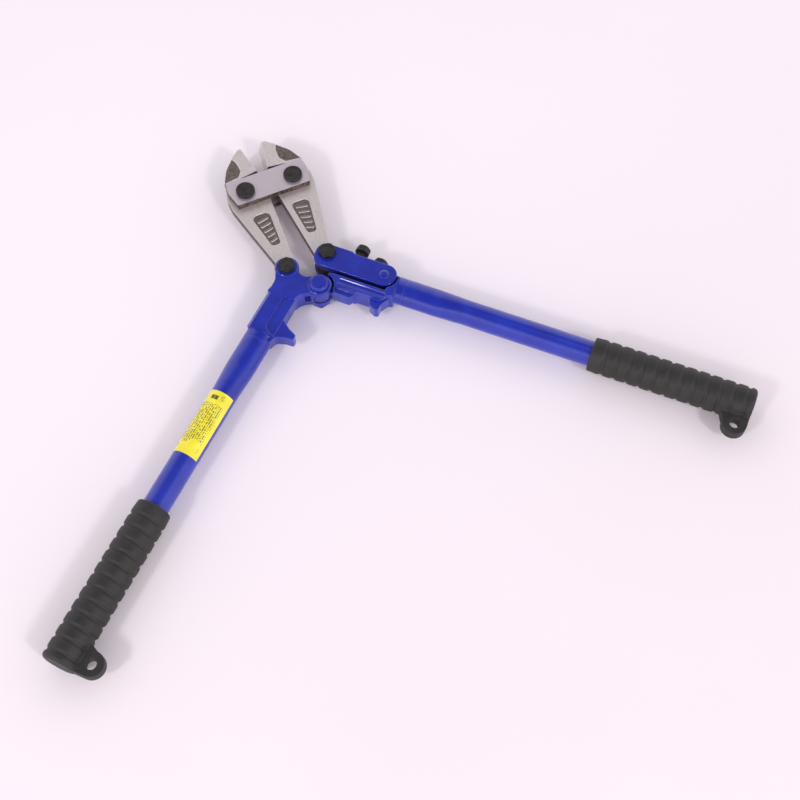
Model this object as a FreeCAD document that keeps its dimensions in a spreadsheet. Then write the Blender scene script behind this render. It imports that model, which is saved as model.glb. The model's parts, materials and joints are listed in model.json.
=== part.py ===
import FreeCAD, Part
import math
import os

import Sketcher
from FreeCAD import Placement, Rotation, Vector

# Lever bolt cutter, 750 mm class, lying on its side with its handles open.
# Frame: origin on the centre pivot's axis at the lowest face of its nut, +Y along the tool
# towards the jaws, +X to the right, +Z up.  Every flat piece is symmetric about the
# mid-plane, which lies one grip radius above the origin.

os.makedirs("parts", exist_ok=True)
doc = FreeCAD.newDocument("bolt_cutter")
sheet = doc.addObject("Spreadsheet::Sheet", "Sizes")
sheet_rows = []


def put(alias, value):
    """Add one named cell to the sheet and return its value."""
    row = len(sheet_rows) + 1
    sheet.set("A%d" % row, alias)
    sheet.set("B%d" % row, repr(round(value, 5)))
    sheet.setAlias("B%d" % row, alias)
    sheet_rows.append(alias)
    return round(value, 5)


# ---- driving sizes, millimetres and degrees --------------------------------------------
mid_height = put("mid_height", 21.5)          # mid-plane above the table: one grip radius
play = put("play", 0.2)                       # gap between flat faces that slide
put("fit", 0.06)                              # radial clearance of a running bolt

arm_length = put("arm_length", 48.6)          # centre pivot to tail pivot
arm_angle = put("arm_angle", 81.1)            # between the arm and the handle's forward line
head_lean = put("head_lean", 2.3)             # adjuster setting: the head leans to the left
tail_length = put("tail_length", 131.0)       # strap bolt to tail bolt
strap_half = put("strap_half", 32.75)         # half the spacing of the strap bolts
open_angle = put("open_angle", 47.0)          # half the angle between the handles, as laid open
closed_angle = put("closed_angle", 4.6)       # half the angle between them, jaws shut

web_thick = put("web_thick", 12.0)            # jaw tails, and the blades between the straps
strap_thick = put("strap_thick", 8.0)
strap_half_length = put("strap_half_length", 54.5)
strap_front = put("strap_front", 22.0)        # strap edges, ahead of and behind its bolts
strap_rear = put("strap_rear", 17.3)
put("eye_radius", 13.9)                       # round end of a jaw's tail
put("ear_radius", 15.3)                       # ears round the tail bolt and the centre pivot
ear_thick = put("ear_thick", 8.0)
put("boss_radius", 13.6)
boss_height = put("boss_height", 1.0)
put("recess_depth", 3.6)                      # sunk face of the left head
rim_bevel = put("rim_bevel", 4.6)             # bevel along its outer rim
put("rim_start", 35.0)
tongue_thick = put("tongue_thick", 11.6)      # right head's tongue between the left's ears
put("tongue_radius", 14.0)
put("ledge_depth", 5.0)                       # sunk step of the right head

pivot_bolt_radius = put("pivot_bolt_radius", 7.0)
strap_bolt_radius = put("strap_bolt_radius", 7.0)
tail_bolt_radius = put("tail_bolt_radius", 5.0)
put("slack_shift", 3.3)                       # right tail bore: its centre lies outward of the bolt
put("slack_radius", 9.2)                      # and its radius leaves the bolt room to wander
rivet_radius = put("rivet_radius", 5.0)

tube_offset = put("tube_offset", 36.0)        # tube axis outward from the centre pivot
tube_radius = put("tube_radius", 15.9)
tube_wall = put("tube_wall", 2.5)
tube_flat_width = put("tube_flat_width", 18.0)    # half width where the tube meets the head
tube_flat_height = put("tube_flat_height", 14.0)  # half height there
tube_start = put("tube_start", 99.0)          # from the centre pivot, along the handle
tube_oval = put("tube_oval", 142.0)           # where the flattening begins to fade
tube_round = put("tube_round", 180.0)         # where it has died out
tube_end = put("tube_end", 520.0)
spigot_length = put("spigot_length", 40.0)
tube_pin_along = put("tube_pin_along", 122.0)
tube_pin_radius = put("tube_pin_radius", 3.0)
tube_pin_inner = put("tube_pin_inner", 2.0)   # its inner end, below the mid-plane
put("label_start", 184.0)
put("label_end", 272.0)
put("label_thick", 0.25)

grip_start = put("grip_start", 341.5)
grip_end = put("grip_end", 541.0)
grip_radius = put("grip_radius", 21.5)
groove_depth = put("groove_depth", 1.8)
groove_pitch = put("groove_pitch", 15.6)
groove_count = 12
eye_lug_out = put("eye_lug_out", 3.6)         # hanging eye, outward from the centre line
eye_lug_along = put("eye_lug_along", 525.5)
eye_lug_radius = put("eye_lug_radius", 14.6)
put("eye_lug_thick", 13.0)
put("eye_hole_radius", 6.2)

link_in = put("link_in", 27.8)                # link plate, inner and outer sides
link_out = put("link_out", 58.5)
link_nose_out = put("link_nose_out", 61.0)
link_nose_up = put("link_nose_up", 24.2)
link_web = put("link_web", 6.0)
link_turn_out = put("link_turn_out", 42.4)    # rivet the link turns on
link_turn_along = put("link_turn_along", 69.2)
link_end_radius = put("link_end_radius", 15.6)
push_along = put("push_along", 27.5)          # adjusting screw and locking screw stations
pull_along = put("pull_along", 55.5)
screw_radius = put("screw_radius", 4.2)
lock_reach = put("lock_reach", 12.0)          # locking screw inside the tongue
put("spot_radius", 10.8)                      # flat faces on the link under nut and washer
washer_gap = put("washer_gap", 0.15)          # lets the link tilt under the locking washer
tongue_out = put("tongue_out", 47.0)          # outer edge of the tongue inside the link

edge_top = put("edge_top", 66.6)              # tip of a cutting edge ahead of the strap bolts
edge_bevel = put("edge_bevel", 4.2)           # width of the ground bevel, seen from above
put("corner_depth", 1.0)                      # forged skin left below the ground blade face
put("pocket_depth", 1.6)                      # forged pocket in each jaw tail
put("bar_height", 0.7)

# ---- sizes that follow from them ---------------------------------------------------------
def tail_pivot(handle_angle):
    """Right tail pivot (x, y) with the handles handle_angle from the centre line."""
    turn = math.radians(arm_angle - handle_angle)
    return arm_length * math.sin(turn), arm_length * math.cos(turn)


def jaw_lean(handle_angle):
    """Lean of a jaw's centre line: its tail goes out as the jaws shut."""
    return math.degrees(math.asin((tail_pivot(handle_angle)[0] - strap_half) / tail_length))


tail_y = tail_pivot(open_angle)[1]
jaw_rest = put("jaw_rest", jaw_lean(open_angle))
jaw_shut = put("jaw_shut", jaw_lean(closed_angle))
put("strap_y", tail_y + tail_length * math.cos(math.radians(jaw_rest)))

web_half = put("web_half", web_thick / 2)
blade_half = put("blade_half", web_half + play + strap_thick)
put("tongue_half", tongue_thick / 2)
slot_half = put("slot_half", web_half + play)
ear_half = put("ear_half", slot_half + ear_thick)
boss_half = put("boss_half", ear_half + boss_height)
link_turn_up = -link_turn_along

RIGHT, LEFT = 1, -1
tail_at = {}
for side, hand in ((LEFT, "left"), (RIGHT, "right")):
    own_turn = math.radians(arm_angle - side * head_lean)
    put(hand + "_turn", side * open_angle - head_lean)
    tail_at[side] = (put(hand + "_arm_out", arm_length * math.sin(own_turn)),
                     put(hand + "_arm_up", arm_length * math.cos(own_turn)))


# ---- helpers ---------------------------------------------------------------------------
def new_body(label, base=("0", "0"), turn="0"):
    """A body on the mid-plane, its place and turn about +Z bound to the sheet."""
    body = doc.addObject("PartDesign::Body", label)
    body.Label = label
    body.Placement = Placement(Vector(0, 0, 0), Rotation(Vector(0, 0, 1), 0))
    body.setExpression("Placement.Base.x", base[0])
    body.setExpression("Placement.Base.y", base[1])
    body.setExpression("Placement.Base.z", "Sizes.mid_height")
    body.setExpression("Placement.Rotation.Angle", turn)
    return body


def handle_body(label, side):
    """A body in a handle's own frame, turned with that handle about the centre pivot."""
    return new_body(label, turn="Sizes.left_turn" if side == LEFT else "Sizes.right_turn")


def sketch_on(body, name, role="XY_Plane", lift="0", swing=0.0):
    """A sketch on one of the body's own planes, lifted along its normal by a formula."""
    sketch = body.newObject("Sketcher::SketchObject", name)
    plane = [f for f in body.Origin.OriginFeatures if f.Role == role][0]
    sketch.AttachmentSupport = [(plane, "")]
    sketch.MapMode = "FlatFace"
    sketch.AttachmentOffset = Placement(Vector(0, 0, 0), Rotation(Vector(0, 1, 0), swing))
    sketch.setExpression("AttachmentOffset.Base.z", lift)
    return sketch


def rounded(points, side=RIGHT):
    """Lines and tangent arcs of a closed outline of (x, y) or (x, y, corner radius)."""
    corners = [(Vector(side * p[0], p[1], 0), p[2] if len(p) > 2 else 0.0) for p in points]
    starts, ends, pieces = [], [], []
    for i, (here, radius) in enumerate(corners):
        back = (corners[i - 1][0] - here).normalize()
        ahead = (corners[(i + 1) % len(corners)][0] - here).normalize()
        if radius == 0.0:
            starts.append(here)
            ends.append(here)
            continue
        half = back.getAngle(ahead) / 2
        reach = radius / math.tan(half)
        first, last = here + back * reach, here + ahead * reach
        middle = (back + ahead).normalize()
        centre = here + middle * (radius / math.sin(half))
        pieces.append(Part.Arc(first, centre - middle * radius, last))
        starts.append(first)
        ends.append(last)
    for i, start in enumerate(ends):
        finish = starts[(i + 1) % len(corners)]
        if start.distanceToPoint(finish) > 1e-6:
            pieces.append(Part.LineSegment(start, finish))
    return pieces


def draw(sketch, pieces):
    """Put fixed outline pieces into a sketch."""
    for piece in pieces:
        index = sketch.addGeometry(piece, False)
        sketch.addConstraint(Sketcher.Constraint("Block", index))


def circle(sketch, x_formula, y_formula, radius_formula):
    """Put one circle into a sketch, its centre and radius bound to formulas."""
    index = sketch.addGeometry(Part.Circle(Vector(1, 1, 0), Vector(0, 0, 1), 2), False)
    for kind, formula in (("DistanceX", x_formula), ("DistanceY", y_formula)):
        row = sketch.addConstraint(Sketcher.Constraint(kind, -1, 1, index, 3, 1.0))
        sketch.setExpression("Constraints[%d]" % row, formula)
    row = sketch.addConstraint(Sketcher.Constraint("Radius", index, 2.0))
    sketch.setExpression("Constraints[%d]" % row, radius_formula)


def grow(body, sketch, length, kind="Pad"):
    """Pad or pocket a sketch by the same length on both sides of its plane."""
    feature = body.newObject("PartDesign::" + kind, sketch.Name + "_" + kind.lower())
    feature.Profile = sketch
    feature.Midplane = True
    feature.setExpression("Length", length)
    sketch.Visibility = False
    return feature


def sink(body, sketch, depth, down):
    """Pocket a sketch to one side: down is true for the upper face, false for the lower."""
    feature = body.newObject("PartDesign::Pocket", sketch.Name + "_pocket")
    feature.Profile = sketch
    feature.Reversed = not down
    feature.setExpression("Length", depth)
    return feature


def raise_pad(body, sketch, length, up):
    """Pad a sketch to one side of its plane."""
    feature = body.newObject("PartDesign::Pad", sketch.Name + "_pad")
    feature.Profile = sketch
    feature.Reversed = not up
    feature.setExpression("Length", length)
    return feature


def plate(body, name, points, thickness, side=RIGHT, kind="Pad"):
    """Pad or pocket a rounded outline across the mid-plane."""
    sketch = sketch_on(body, name)
    draw(sketch, rounded(points, side))
    return grow(body, sketch, thickness, kind)


def disc(body, name, x_formula, y_formula, radius, thickness, kind="Pad"):
    """Pad or pocket a circle across the mid-plane."""
    sketch = sketch_on(body, name)
    circle(sketch, x_formula, y_formula, radius)
    return grow(body, sketch, thickness, kind)


def both_faces(body, name, points, face, depth, side=RIGHT):
    """Sink a rounded outline into the upper and the lower face."""
    for tag, sign in (("top", 1), ("bottom", -1)):
        sketch = sketch_on(body, "%s_%s" % (name, tag), lift="%d * %s" % (sign, face))
        draw(sketch, rounded(points, side))
        sink(body, sketch, depth, sign > 0)


def ellipse(sketch, centre, half_width, half_height):
    """Put an ellipse, wider than high, into a sketch."""
    outline = Part.Ellipse(Vector(centre + half_width, 0, 0), Vector(centre, half_height, 0),
                           Vector(centre, 0, 0))
    draw(sketch, [outline])


# ---- jaws ------------------------------------------------------------------------------
def edge_x(y):
    """Inward place of the cutting edge, which meets its twin when the jaw has swung shut."""
    shut = math.radians(jaw_shut)
    return (0.1 - strap_half + y * math.sin(shut)) / math.cos(shut)


def shoulder_y(x):
    """Front of the strap's seat: it clears the strap at rest and shut."""
    clear = strap_front + 1.5 * play
    return clear + max(-x * math.tan(math.radians(jaw_shut)), x * math.tan(math.radians(-jaw_rest)))


def make_jaw(label, side):
    body = new_body(label, ("%d * Sizes.strap_half" % side, "Sizes.strap_y"),
                    "%d * Sizes.jaw_rest" % side)
    neck_in, neck_out = -25.9, 25.3
    tip = [(edge_x(edge_top), edge_top, 0.8), (-17.0, 67.8, 5), (-4.5, 57.6, 14), (10.0, 42.5, 30),
           (19.5, 24.0, 20)]
    web = tip + [(neck_out, 2.0, 30), (neck_out - 0.2, -14.0, 24), (19.0, -51.5, 120), (8.5, -113.0, 10),
                 (7.5, 6.0 - tail_length), (-13.0, 3.0 - tail_length), (-14.0, -123.0),
                 (neck_in, -21.0, 6), (-31.0, 8.0, 8), (edge_x(17.0), 17.0)]
    plate(body, label + "_web", web, "2 * Sizes.web_half", side)
    disc(body, label + "_eye", "0", "-Sizes.tail_length", "Sizes.eye_radius", "2 * Sizes.web_half")
    seat_in = shoulder_y(-30.0)
    blade = tip[:-1] + [(19.9, shoulder_y(19.9)), (0.0, shoulder_y(0.0)), (edge_x(seat_in), seat_in)]
    plate(body, label + "_blade", blade, "2 * Sizes.blade_half", side)

    grind = sketch_on(body, label + "_grind", "XZ_Plane", swing=-side * jaw_shut)
    land, top = 0.15, blade_half + 1.0
    edge = 0.1 - strap_half
    for sign in (1, -1):
        wedge = [(edge - 9.0, land * sign), (edge - 9.0, top * sign),
                 (edge + edge_bevel * (top - land) / (blade_half - land), top * sign), (edge, land * sign)]
        draw(grind, rounded(wedge, side))
    grow(body, grind, "400", "Pocket")

    corner = [(-3.0, 62.0), (-7.4, 49.0, 3), (-7.8, 34.5, 6), (-1.0, 25.4, 3), (22.0, 23.4), (30.0, 40.0),
              (6.0, 62.0)]
    both_faces(body, label + "_forged_corner", corner, "Sizes.blade_half", "Sizes.corner_depth", side)
    pocket = [(8.6, -34.0, 7), (1.6, -88.0, 5), (-10.8, -88.4, 5), (-16.8, -34.6, 7)]
    both_faces(body, label + "_forged_pocket", pocket, "Sizes.web_half", "Sizes.pocket_depth", side)
    for sign in (1, -1):
        bars = sketch_on(body, "%s_bars_%s" % (label, "top" if sign > 0 else "bottom"),
                         lift="%d * (Sizes.web_half - Sizes.pocket_depth)" % sign)
        for step in range(5):
            y = -42.5 - 8.6 * step
            reach = 7.2 - 0.7 * step
            middle = -4.0 - 0.2 * step
            bar = [(middle - reach, y, 0.9), (middle + reach, y - 2.4, 0.9), (middle + reach, y - 4.6, 0.9),
                   (middle - reach, y - 2.2, 0.9)]
            draw(bars, rounded(bar, side))
        raise_pad(body, bars, "Sizes.bar_height", sign > 0)
    disc(body, label + "_strap_bore", "0", "0", "Sizes.strap_bolt_radius + Sizes.fit", "100", "Pocket")
    if side == LEFT:
        tail_bore = ("0", "Sizes.tail_bolt_radius + Sizes.fit")
    else:
        tail_bore = ("Sizes.slack_shift", "Sizes.slack_radius")
    disc(body, label + "_tail_bore", tail_bore[0], "-Sizes.tail_length", tail_bore[1], "100", "Pocket")
    return body


# ---- straps ----------------------------------------------------------------------------
def make_strap(label, side_up):
    body = new_body(label, ("0", "Sizes.strap_y"))
    length = strap_half_length
    outline = [(-length + 1.8, strap_front, 1.5), (-length, 6.0, 22), (-length + 5.0, -strap_rear, 2),
               (length - 5.0, -strap_rear, 2), (length, 6.0, 22), (length - 1.8, strap_front, 1.5)]
    sketch = sketch_on(body, label + "_outline", lift="%d * Sizes.slot_half" % side_up)
    draw(sketch, rounded(outline))
    raise_pad(body, sketch, "Sizes.strap_thick", side_up > 0)
    bores = sketch_on(body, label + "_bores")
    for sign in (1, -1):
        circle(bores, "%d * Sizes.strap_half" % sign, "0", "Sizes.strap_bolt_radius + Sizes.fit / 3")
    grow(body, bores, "100", "Pocket")
    return body


# ---- handle heads ----------------------------------------------------------------------
def pin_bore(body, label, side):
    """Hole for the tube pin, from the lower side up to just past the pin's inner end."""
    sketch = sketch_on(body, label + "_pin_bore", lift="-Sizes.tube_pin_inner + 0.3")
    circle(sketch, "%d * Sizes.tube_offset" % side, "-Sizes.tube_pin_along", "Sizes.tube_pin_radius + 0.02")
    sink(body, sketch, "Sizes.tube_flat_height", True)


def tube_socket(body, label, side, collar_start):
    """Oval collar that meets the tube, and the spigot that goes inside it."""
    inside = 0.15
    steps = (("collar", collar_start, tube_start - collar_start, 0.0),
             ("spigot", tube_start - 1.0, spigot_length, tube_wall + inside))
    for name, start, length, less in steps:
        sketch = sketch_on(body, "%s_%s" % (label, name), "XZ_Plane", lift=repr(start))
        ellipse(sketch, side * tube_offset, tube_flat_width - less, tube_flat_height - less)
        raise_pad(body, sketch, repr(length), True)
    pin_bore(body, label, side)


def make_left_head():
    side, label = LEFT, "left_head"
    body = handle_body(label, side)
    main = [(0.0, 10.0), (15.0, 7.0, 3), (22.0, 3.0, 8), (31.0, 5.0, 8), (38.3, 13.2), (50.2, 10.2),
            (58.7, -5.0), (53.0, -17.0, 14), (52.7, -27.0, 3), (54.0, -33.0, 2), (54.0, -90.0, 3),
            (18.0, -90.0, 3), (18.0, -28.0, 10), (13.0, -20.5, 6), (4.0, -14.5)]
    plate(body, label + "_main", main, "2 * Sizes.ear_half", side)
    ears = (("pivot", "0", "0"), ("tail", "-Sizes.left_arm_out", "Sizes.left_arm_up"))
    for name, x, y in ears:
        disc(body, "%s_%s_ear" % (label, name), x, y, "Sizes.ear_radius", "2 * Sizes.ear_half")
        disc(body, "%s_%s_boss" % (label, name), x, y, "Sizes.boss_radius", "2 * Sizes.boss_half")
    lug = [(20.0, -55.0), (17.0, -62.0, 6), (6.0, -69.5, 6), (-5.6, -74.4, 2.5), (-5.4, -81.6, 2),
           (4.5, -82.6, 5), (15.5, -86.5, 8), (19.0, -97.0), (30.0, -97.0), (30.0, -55.0)]
    plate(body, label + "_stop", lug, "18", side)
    tube_socket(body, label, side, 84.0)

    tail_slot = [(33.0, -7.0, 4), (80.0, -7.0), (80.0, 40.0), (20.0, 40.0), (28.0, 10.0)]
    plate(body, label + "_tail_slot", tail_slot, "2 * Sizes.slot_half", side, "Pocket")
    disc(body, label + "_tail_slot_end", "-Sizes.left_arm_out", "Sizes.left_arm_up", "Sizes.eye_radius + 1",
         "2 * Sizes.slot_half", "Pocket")
    tongue_slot = [(0.0, -30.0), (0.0, 20.0), (-20.0, 20.0), (-20.0, -30.0)]
    room = "2 * (Sizes.tongue_half + Sizes.play)"
    plate(body, label + "_tongue_slot", tongue_slot, room, side, "Pocket")
    disc(body, label + "_tongue_slot_end", "0", "0", "Sizes.tongue_radius + 0.8", room, "Pocket")
    disc(body, label + "_slot_relief", "-8.6", "-16.6", "3.2", room, "Pocket")

    recess = [(33.0, -31.0, 3), (33.0, -80.0, 9), (23.0, -88.0, 4), (-15.0, -88.0), (-15.0, -26.0),
              (10.0, -27.5, 2), (24.5, -33.0, 3)]
    both_faces(body, label + "_recess", recess, "Sizes.ear_half", "Sizes.recess_depth", side)
    rim = sketch_on(body, label + "_rim", "XZ_Plane", lift="Sizes.rim_start")
    for sign in (1, -1):
        corner = [(54.0 - rim_bevel, sign * (ear_half + 0.01)), (54.01, sign * (ear_half + 0.01)),
                  (54.01, sign * (ear_half - rim_bevel))]
        draw(rim, rounded(corner, side))
    sink(body, rim, "Sizes.tube_start - Sizes.rim_start", False)
    disc(body, label + "_pivot_bore", "0", "0", "Sizes.pivot_bolt_radius + Sizes.fit / 3", "100", "Pocket")
    disc(body, label + "_tail_bore", "-Sizes.left_arm_out", "Sizes.left_arm_up",
         "Sizes.tail_bolt_radius + Sizes.fit / 3", "100", "Pocket")
    return body


def make_right_head():
    side, label = RIGHT, "right_head"
    body = handle_body(label, side)
    main = [(-1.0, -14.0, 1), (-1.5, -40.0, 2), (7.4, -45.5, 3), (7.8, -76.0), (17.5, -86.0, 3),
            (18.0, -90.0), (47.0, -90.0, 2.5), (47.0, -83.0, 3), (22.0, -78.0), (22.0, -4.0, 3), (12.0, -4.0)]
    plate(body, label + "_main", main, "2 * Sizes.ear_half", side)
    lug = [(9.0, -60.0), (6.6, -64.0, 3), (-1.5, -67.0, 2), (-5.4, -74.6, 2), (-4.6, -79.6, 2),
           (3.6, -80.2, 3), (15.0, -86.5), (20.0, -60.0)]
    plate(body, label + "_stop", lug, "18", side)
    tube_socket(body, label, side, 80.0)

    room = 200.0
    wall = "Sizes.ear_radius + 2.8"
    for tag, sign in (("top", 1), ("bottom", -1)):
        lift = "%d * Sizes.tongue_half" % sign
        hinge = sketch_on(body, "%s_hinge_wall_%s" % (label, tag), lift=lift)
        circle(hinge, "0", "0", wall)
        sink(body, hinge, "50", sign < 0)
        nest = sketch_on(body, "%s_nest_%s" % (label, tag), lift=lift)
        circle(nest, "Sizes.link_turn_out", "-Sizes.link_turn_along", "Sizes.link_end_radius + 2.4")
        sink(body, nest, "50", sign < 0)
        gap = sketch_on(body, "%s_link_gap_%s" % (label, tag), lift=lift)
        clear = [(22.0, -68.0), (22.0, 30.0), (room, 30.0), (room, -68.0)]
        draw(gap, rounded(clear, side))
        sink(body, gap, "50", sign < 0)
    neck = [(0.0, -14.0), (3.0, -22.0), (22.0, -22.0), (22.0, -6.0, 3), (12.0, 0.0), (0.0, 0.0)]
    plate(body, label + "_neck", neck, "2 * Sizes.tongue_half", side)
    disc(body, label + "_pivot_eye", "0", "0", "Sizes.tongue_radius", "2 * Sizes.tongue_half")
    blade = [(20.0, -21.0), (40.0, -23.0, 6), (tongue_out, -31.0, 4), (tongue_out, -84.0, 2),
             (20.0, -88.0)]
    plate(body, label + "_tongue", blade, "2 * Sizes.tongue_half", side)

    ledge = [(-8.0, -19.0), (5.6, -19.0), (5.6, -44.0, 1.5), (-8.0, -44.0)]
    both_faces(body, label + "_ledge", ledge, "Sizes.ear_half", "Sizes.ledge_depth", side)
    groove = sketch_on(body, label + "_groove", "XZ_Plane", lift="19")
    for sign in (1, -1):
        circle(groove, "14.4", "%d * (Sizes.ear_half + 3.4)" % sign, "5.6")
    sink(body, groove, "62", False)
    disc(body, label + "_pivot_bore", "0", "0", "Sizes.pivot_bolt_radius + Sizes.fit", "100", "Pocket")
    disc(body, label + "_rivet_bore", "Sizes.link_turn_out", "-Sizes.link_turn_along",
         "Sizes.rivet_radius + Sizes.fit / 3", "100", "Pocket")
    thread = sketch_on(body, label + "_lock_thread", "YZ_Plane",
                       lift="Sizes.tongue_out - Sizes.lock_reach - 1")
    circle(thread, "-Sizes.pull_along", "0", "Sizes.screw_radius + Sizes.fit")
    sink(body, thread, "Sizes.lock_reach + 2", False)
    return body


# ---- adjuster link ---------------------------------------------------------------------
def make_link():
    label = "adjuster_link"
    body = handle_body(label, RIGHT)
    rear = link_turn_up - link_end_radius
    outline = [(link_in, link_nose_up, 14), (link_nose_out, link_nose_up, 13), (link_nose_out, -19.0, 2),
               (link_out, -24.0, 2), (link_out, rear, 15), (link_in - 0.6, rear, 15)]
    plate(body, label + "_plates", outline, "2 * Sizes.ear_half")
    web_in = link_out - link_web
    slot = [(0.0, -100.0), (80.0, -100.0), (80.0, -65.0), (web_in, -65.0, 2), (web_in, -9.0, 2), (80.0, -9.0),
            (80.0, 40.0), (0.0, 40.0)]
    plate(body, label + "_slot", slot, "2 * Sizes.slot_half", RIGHT, "Pocket")
    bores = sketch_on(body, label + "_bores")
    circle(bores, "Sizes.right_arm_out", "Sizes.right_arm_up", "Sizes.tail_bolt_radius + Sizes.fit / 3")
    circle(bores, "Sizes.link_turn_out", "-Sizes.link_turn_along", "Sizes.rivet_radius + Sizes.fit")
    grow(body, bores, "100", "Pocket")
    holes = sketch_on(body, label + "_screw_holes", "YZ_Plane", lift=repr(web_in - 3.0))
    circle(holes, "-Sizes.push_along", "0", "Sizes.screw_radius + Sizes.fit")
    circle(holes, "-Sizes.pull_along", "0", "Sizes.screw_radius + 0.5")
    sink(body, holes, "20", False)
    faces = sketch_on(body, label + "_spot_faces", "YZ_Plane", lift="Sizes.link_out")
    for station in ("push", "pull"):
        circle(faces, "-Sizes.%s_along" % station, "0", "Sizes.spot_radius")
    sink(body, faces, "10", False)


# ---- tubes, grips and label --------------------------------------------------------------
def tube_section(body, name, side, along, half_width, half_height):
    """A cross-section of a handle tube, across its axis."""
    sketch = sketch_on(body, name, "XZ_Plane", lift=repr(along))
    if half_width == half_height:
        circle(sketch, "%d * Sizes.tube_offset" % side, "0", repr(half_width))
    else:
        ellipse(sketch, side * tube_offset, half_width, half_height)
    return sketch


def make_tube(label, side):
    body = handle_body(label, side)
    for layer, less, more in (("wall", 0.0, "Additive"), ("hollow", tube_wall, "Subtractive")):
        flat = (tube_flat_width - less, tube_flat_height - less)
        full = (tube_radius - less, tube_radius - less)
        first = tube_section(body, "%s_%s_flat" % (label, layer), side, tube_start, *flat)
        fade = tube_section(body, "%s_%s_fade" % (label, layer), side, tube_oval, *flat)
        last = tube_section(body, "%s_%s_round" % (label, layer), side, tube_round, *full)
        lengths = ((first, tube_oval - tube_start), (last, tube_end - tube_round))
        for sketch, length in lengths:
            if more == "Additive":
                raise_pad(body, sketch, repr(length), True)
            else:
                sink(body, sketch, repr(length), False)
        loft = body.newObject("PartDesign::%sLoft" % more, "%s_%s_loft" % (label, layer))
        loft.Profile = fade
        loft.Sections = [last]
    pin_bore(body, label, side)


def lathe(body, name, profile, centre, role="XZ_Plane", axis="V_Axis", kind="Revolution"):
    """Turn a (radius, height) profile round an axis through a point of the sketch plane."""
    sketch = sketch_on(body, name, role)
    sketch.AttachmentOffset = Placement(Vector(*centre), Rotation())
    sketch.setExpression("AttachmentOffset.Base.z", None)
    draw(sketch, rounded(profile))
    feature = body.newObject("PartDesign::" + kind, name + "_turned")
    feature.Profile = sketch
    feature.ReferenceAxis = (sketch, [axis])
    feature.Angle = 360.0
    return feature


def make_grip(label, side):
    body = handle_body(label, side)
    inside = tube_radius + 0.05
    skin = [(inside, -grip_start), (grip_radius - 0.8, -grip_start, 1.2),
            (grip_radius - 0.3, -grip_start - 9.0, 3),
            (grip_radius, -grip_start - 10.5)]
    for step in range(groove_count):
        y = -grip_start - 18.0 - groove_pitch * step
        skin += [(grip_radius, y + 3.2, 1.0), (grip_radius - groove_depth, y + 0.9, 0.8),
                 (grip_radius - groove_depth, y - 0.9, 0.8), (grip_radius, y - 3.2, 1.0)]
    skin += [(grip_radius, -grip_end, 5), (0.0, -grip_end), (0.0, -tube_end - 1.0), (inside, -tube_end - 1.0)]
    lathe(body, label + "_sleeve", skin, (side * tube_offset, 0, 0), "XY_Plane")
    lug = [(22.0, -500.0), (14.0, -506.5, 8), (eye_lug_out, -eye_lug_along + eye_lug_radius, 4),
           (eye_lug_out, -eye_lug_along - eye_lug_radius), (24.0, -grip_end + 0.2), (24.0, -500.0)]
    hull = sketch_on(body, label + "_lug")
    draw(hull, rounded(lug, side))
    grow(body, hull, "Sizes.eye_lug_thick")
    eye = ("%d * Sizes.eye_lug_out" % side, "-Sizes.eye_lug_along")
    disc(body, label + "_lug_ring", eye[0], eye[1], "Sizes.eye_lug_radius", "Sizes.eye_lug_thick")
    bore = sketch_on(body, label + "_tube_room", "XZ_Plane", lift=repr(grip_start - 1.0))
    circle(bore, "%d * Sizes.tube_offset" % side, "0", repr(inside))
    sink(body, bore, repr(tube_end - grip_start + 2.0), False)
    disc(body, label + "_eye", eye[0], eye[1], "Sizes.eye_hole_radius", "100", "Pocket")


def make_label():
    label = "tube_label"
    body = handle_body(label, LEFT)
    ring = sketch_on(body, label + "_ring", "XZ_Plane", lift="Sizes.label_start")
    for radius in ("Sizes.tube_radius + 0.02", "Sizes.tube_radius + Sizes.label_thick"):
        circle(ring, "-Sizes.tube_offset", "0", radius)
    raise_pad(body, ring, "Sizes.label_end - Sizes.label_start", True)
    under = sketch_on(body, label + "_under", "XZ_Plane", lift="Sizes.label_start - 1")
    low = [(-tube_offset + 25.0, 7.0), (-tube_offset + 25.0, -25.0), (-tube_offset - 25.0, -25.0),
           (-tube_offset - 25.0, -3.0), (-tube_offset, 2.0)]
    draw(under, rounded(low))
    sink(body, under, "Sizes.label_end - Sizes.label_start + 2", False)


def make_tube_pin(label, side):
    body = handle_body(label, side)
    end = tube_flat_height - 0.4
    profile = [(0.0, -end), (tube_pin_radius - 0.4, -end), (tube_pin_radius, -end + 0.4),
               (tube_pin_radius, -tube_pin_inner), (0.0, -tube_pin_inner)]
    lathe(body, label + "_shank", profile, (side * tube_offset, 0, tube_pin_along))


# ---- bolts, nuts and screws --------------------------------------------------------------
def hexagon(radius, centre=(0.0, 0.0)):
    turns = [math.radians(60 * step) for step in range(6)]
    return [(centre[0] + radius * math.cos(a), centre[1] + radius * math.sin(a)) for a in turns]


def hex_block(body, name, radius, centre, low, high, crown):
    """A hexagonal prism on a vertical axis with the corners of one end turned off."""
    sketch = sketch_on(body, name, lift=repr(low))
    draw(sketch, rounded(hexagon(radius, centre)))
    raise_pad(body, sketch, repr(high - low), True)
    face, back = (high, -1.4) if crown > 0 else (low, 1.4)
    corner = [(radius * 0.88, face), (radius + 1.0, face), (radius + 1.0, face + back)]
    lathe(body, name + "_crown", corner, (centre[0], 0, -centre[1]), kind="Groove")


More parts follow.
